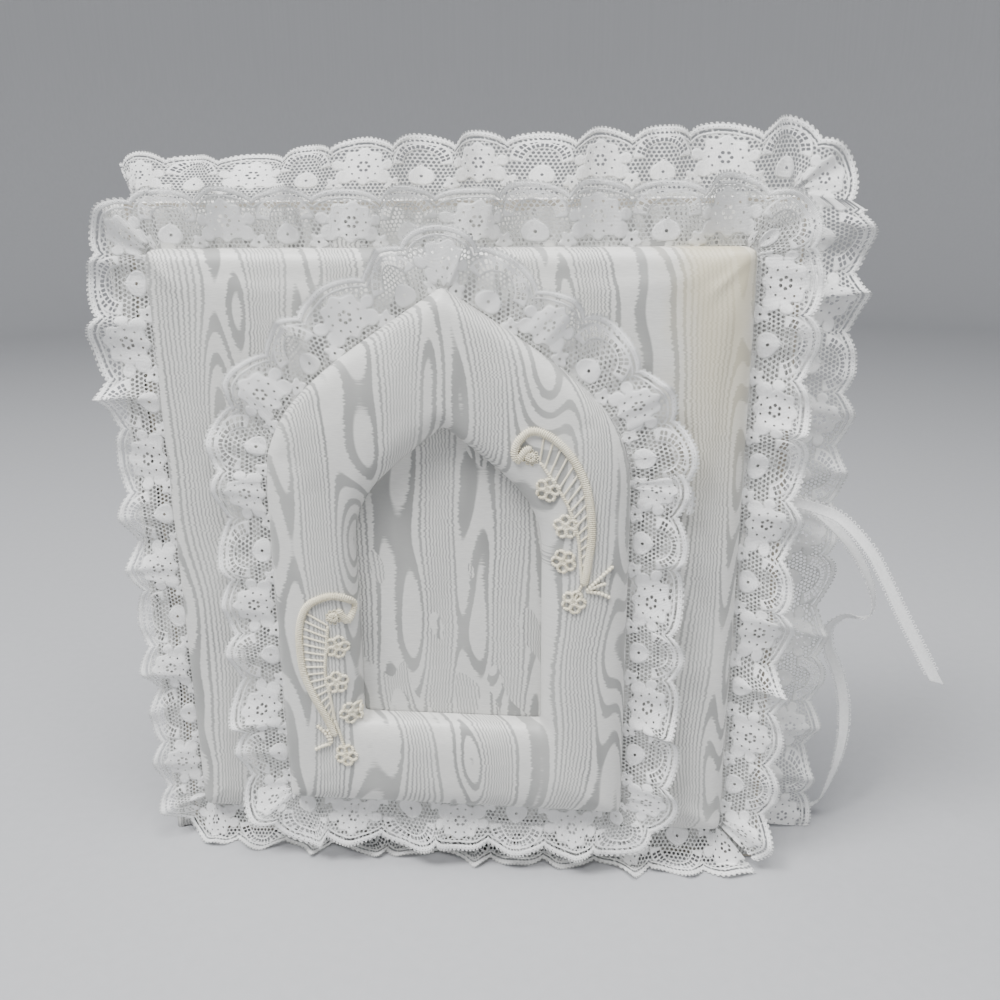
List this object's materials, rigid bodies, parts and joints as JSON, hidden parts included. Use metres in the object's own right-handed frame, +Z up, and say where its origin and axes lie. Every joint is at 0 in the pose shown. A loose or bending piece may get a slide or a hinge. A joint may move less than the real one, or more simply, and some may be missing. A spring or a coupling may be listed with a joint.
{
  "type": "wedding photograph album",
  "caption": "Upright photograph album with padded moire covers, lace ruffles, a padded pointed-arch picture frame, ribbon ties and post-bound leaves.",
  "frame": {"origin": "on the floor under the middle of the closed album, ribbon ties left out", "axes": "+Z up, -Y towards the decorated front cover, -X towards the spine"},
  "size_m": [0.4309, 0.0836, 0.3813],
  "materials": {
    "moire": "watered silk-look taffeta",
    "board": "grey binder's board",
    "batting": "polyester batting",
    "endpaper": "plain endpaper",
    "lace": "gathered warp-knitted lace",
    "guipure": "corded guipure applique",
    "leaf": "mounted album leaf",
    "metal": "satin",
    "ribbon": "satin with picot edges"
  },
  "bodies": {
    "binding": {"spine_cloth": "moire", "spine_board": "board", "spine_lining": "endpaper", "front_post_strip": "metal", "back_post_strip": "metal", "leaf_gutter_block": "leaf", "binding_post_1": "metal", "front_post_screw_1": "metal", "back_post_screw_1": "metal", "binding_post_2": "metal", "front_post_screw_2": "metal", "back_post_screw_2": "metal", "binding_post_3": "metal", "front_post_screw_3": "metal", "back_post_screw_3": "metal"},
    "front_cover": {"front_cover_cloth": "moire", "front_cover_board": "board", "front_cover_lining": "endpaper", "front_joint_cloth": "moire", "panel_cloth": "moire", "panel_board": "board", "panel_padding": "batting", "panel_lace_bottom": "lace", "panel_lace_left": "lace", "panel_lace_right": "lace", "panel_lace_top": "lace", "arch_cloth": "moire", "arch_board": "board", "arch_padding": "batting", "photo_backing_card": "moire", "arch_lace_bottom": "lace", "arch_lace_left": "lace", "arch_lace_left_slope": "lace", "arch_lace_right": "lace", "arch_lace_right_slope": "lace", "applique_left": "guipure", "applique_right": "guipure", "front_ribbon_tie": "ribbon"},
    "back_cover": {"back_cover_cloth": "moire", "back_cover_board": "board", "back_cover_padding": "batting", "back_cover_lining": "endpaper", "back_joint_cloth": "moire", "back_lace_top": "lace", "back_lace_fore_edge": "lace", "back_lace_tucked": "lace", "back_ribbon_tie": "ribbon"},
    "leaf_1": {"leaf_1": "leaf"},
    "leaf_2": {"leaf_2": "leaf"},
    "leaf_3": {"leaf_3": "leaf"},
    "leaf_4": {"leaf_4": "leaf"},
    "leaf_5": {"leaf_5": "leaf"},
    "leaf_6": {"leaf_6": "leaf"},
    "leaf_7": {"leaf_7": "leaf"},
    "leaf_8": {"leaf_8": "leaf"}
  },
  "joints": [
    {"name": "front_cover_hinge", "type": "hinge", "parent": "binding", "child": "front_cover", "pos_m": [-0.17765, -0.00165, 0], "axis": [0, 0, -1], "range_deg": [0, 175], "deforming": ["front_joint_cloth", "panel_lace_left"]},
    {"name": "back_cover_hinge", "type": "hinge", "parent": "binding", "child": "back_cover", "pos_m": [-0.17765, 0.02725, 0], "axis": [0, 0, 1], "range_deg": [0, 175], "deforming": ["back_joint_cloth"]},
    {"name": "leaf_1_turn", "type": "hinge", "parent": "binding", "child": "leaf_1", "pos_m": [-0.15005, 0.00458, 0], "axis": [0, 0, -1], "range_deg": [0, 77]},
    {"name": "leaf_2_turn", "type": "hinge", "parent": "binding", "child": "leaf_2", "pos_m": [-0.15005, 0.00692, 0], "axis": [0, 0, -1], "range_deg": [0, 59.5]},
    {"name": "leaf_3_turn", "type": "hinge", "parent": "binding", "child": "leaf_3", "pos_m": [-0.15005, 0.00928, 0], "axis": [0, 0, -1], "range_deg": [0, 42]},
    {"name": "leaf_4_turn", "type": "hinge", "parent": "binding", "child": "leaf_4", "pos_m": [-0.15005, 0.01162, 0], "axis": [0, 0, -1], "range_deg": [0, 24.5]},
    {"name": "leaf_5_turn", "type": "hinge", "parent": "binding", "child": "leaf_5", "pos_m": [-0.15005, 0.01397, 0], "axis": [0, 0, 1], "range_deg": [0, 24.5]},
    {"name": "leaf_6_turn", "type": "hinge", "parent": "binding", "child": "leaf_6", "pos_m": [-0.15005, 0.01632, 0], "axis": [0, 0, 1], "range_deg": [0, 42]},
    {"name": "leaf_7_turn", "type": "hinge", "parent": "binding", "child": "leaf_7", "pos_m": [-0.15005, 0.01868, 0], "axis": [0, 0, 1], "range_deg": [0, 59.5]},
    {"name": "leaf_8_turn", "type": "hinge", "parent": "binding", "child": "leaf_8", "pos_m": [-0.15005, 0.02102, 0], "axis": [0, 0, 1], "range_deg": [0, 77]}
  ],
  "couplings": [
    {"joint": "leaf_1_turn", "follows": "front_cover_hinge", "ratio": 0.44},
    {"joint": "leaf_2_turn", "follows": "front_cover_hinge", "ratio": 0.34},
    {"joint": "leaf_3_turn", "follows": "front_cover_hinge", "ratio": 0.24},
    {"joint": "leaf_4_turn", "follows": "front_cover_hinge", "ratio": 0.14},
    {"joint": "leaf_5_turn", "follows": "back_cover_hinge", "ratio": 0.14},
    {"joint": "leaf_6_turn", "follows": "back_cover_hinge", "ratio": 0.24},
    {"joint": "leaf_7_turn", "follows": "back_cover_hinge", "ratio": 0.34},
    {"joint": "leaf_8_turn", "follows": "back_cover_hinge", "ratio": 0.44}
  ]
}
